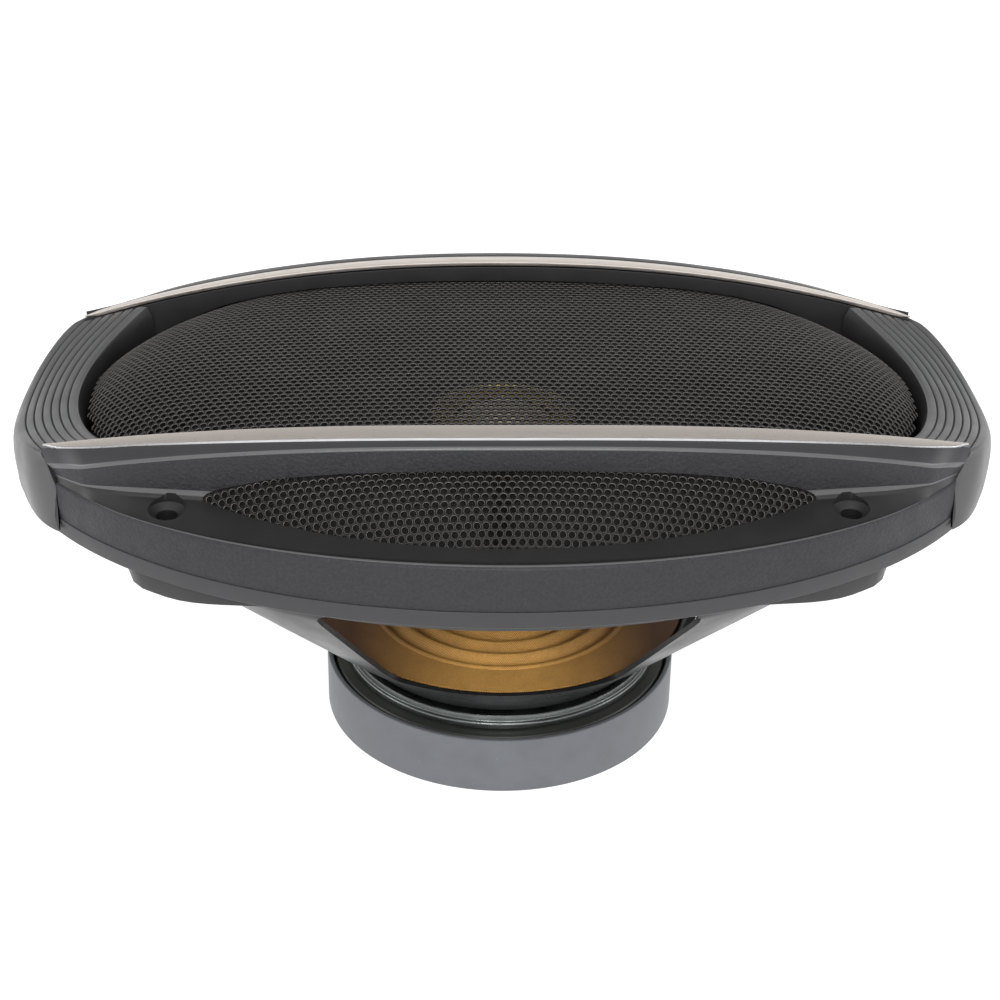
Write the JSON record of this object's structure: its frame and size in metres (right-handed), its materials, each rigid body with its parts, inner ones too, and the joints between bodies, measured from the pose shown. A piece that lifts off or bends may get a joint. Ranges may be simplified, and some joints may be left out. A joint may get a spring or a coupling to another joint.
{
  "type": "coaxial car speaker",
  "caption": "Oval coaxial car speaker: grille with textured side panels, metal-look strips and perforated dome, over a steel basket, cone, tweeter on a post and booted magnet.",
  "frame": {"origin": "centre of the underside of the magnet boot, on which the speaker rests", "axes": "+X along the long axis of the oval, +Z out of the grille, the way the sound leaves"},
  "size_m": [0.24, 0.167, 0.1034],
  "materials": {
    "grille_plastic": "satin moulded charcoal",
    "panel_plastic": "fine grained charcoal",
    "trim_metal": "champagne brushed strip",
    "mesh_steel": "black coated perforated steel",
    "basket_paint": "satin black pressed steel",
    "clamp_card": "pressed card ring",
    "boot_rubber": "grey satin boot",
    "zinc_steel": "zinc plated turned steel",
    "ferrite": "sintered ferrite",
    "cone_paper": "pressed paper cone",
    "surround_rubber": "matt rubber edge",
    "spider_cloth": "resin treated woven cloth",
    "former_film": "polyimide film",
    "coil_copper": "enamelled winding wire",
    "tweeter_plastic": "black moulded",
    "tweeter_ring_gold": "gold coated ring",
    "neodymium": "nickel plated",
    "dome_film": "formed film",
    "phenolic": "brown phenolic board",
    "tinned_brass": "tin plated",
    "capacitor_sleeve": "shrink sleeve",
    "tinsel_braid": "woven tinsel wire"
  },
  "bodies": {
    "speaker_frame": {"base_ring": "grille_plastic", "side_panel_front": "panel_plastic", "side_panel_rear": "panel_plastic", "trim_strip_front": "trim_metal", "trim_strip_rear": "trim_metal", "end_cap_left": "grille_plastic", "end_cap_right": "grille_plastic", "grille_mesh": "mesh_steel", "basket": "basket_paint", "clamp_ring": "clamp_card", "magnet_boot": "boot_rubber", "t_yoke": "zinc_steel", "magnet": "ferrite", "top_plate": "zinc_steel", "surround": "surround_rubber", "spider": "spider_cloth", "tweeter_post": "neodymium", "tweeter_cup": "tweeter_plastic", "tweeter_magnet": "neodymium", "tweeter_ring": "tweeter_ring_gold", "terminal_board": "phenolic", "terminal_plus": "tinned_brass", "terminal_minus": "tinned_brass", "board_rivet_1": "tinned_brass", "board_rivet_2": "tinned_brass", "crossover_capacitor": "capacitor_sleeve", "tinsel_lead_plus": "tinsel_braid", "tinsel_lead_minus": "tinsel_braid"},
    "cone_assembly": {"cone": "cone_paper", "coil_former": "former_film", "voice_coil": "coil_copper"},
    "tweeter_diaphragm": {"tweeter_dome": "dome_film", "tweeter_coil": "coil_copper"}
  },
  "joints": [
    {"name": "cone_travel", "type": "slide", "parent": "speaker_frame", "child": "cone_assembly", "axis": [0, 0, 1], "range_m": [-0.004, 0.004], "stiffness_N_per_m": 1800, "deforming": ["surround", "spider", "tinsel_lead_plus", "tinsel_lead_minus"]},
    {"name": "tweeter_travel", "type": "slide", "parent": "speaker_frame", "child": "tweeter_diaphragm", "axis": [0, 0, 1], "range_m": [-0.0003, 0.0003], "stiffness_N_per_m": 3000}
  ]
}
